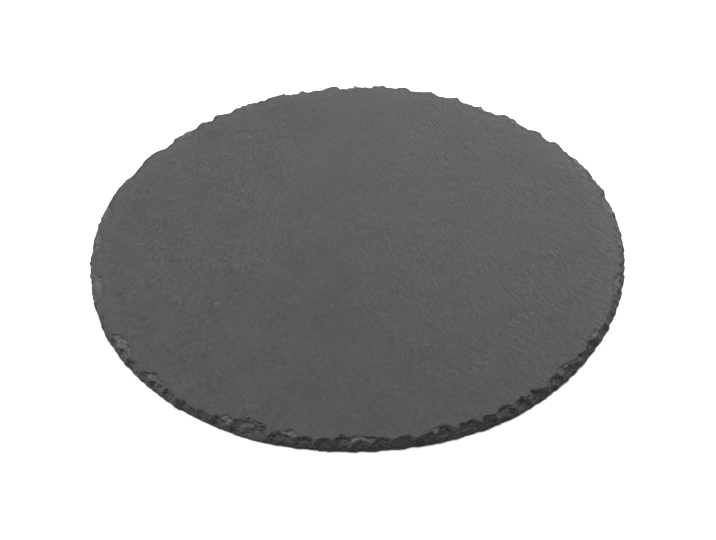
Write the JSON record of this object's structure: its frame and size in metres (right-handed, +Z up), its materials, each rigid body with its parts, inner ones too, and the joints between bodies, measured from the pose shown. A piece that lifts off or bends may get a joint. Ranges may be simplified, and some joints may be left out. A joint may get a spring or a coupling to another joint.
{
  "type": "slate slab",
  "caption": "Round flat slab of dark grey cleaved slate with a chipped, scalloped upper edge, used as a serving board or cake plate.",
  "frame": {"origin": "middle of the flat underside, which rests on the surface", "axes": "+Z up through the thickness; -Y towards the front of the picture, where the widest flake is missing"},
  "size_m": [0.3, 0.2999, 0.0055],
  "materials": {
    "slate": "natural cleft, matte, with a freshly broken edge"
  },
  "bodies": {
    "root": {"slate_slab": "slate"}
  },
  "joints": []
}
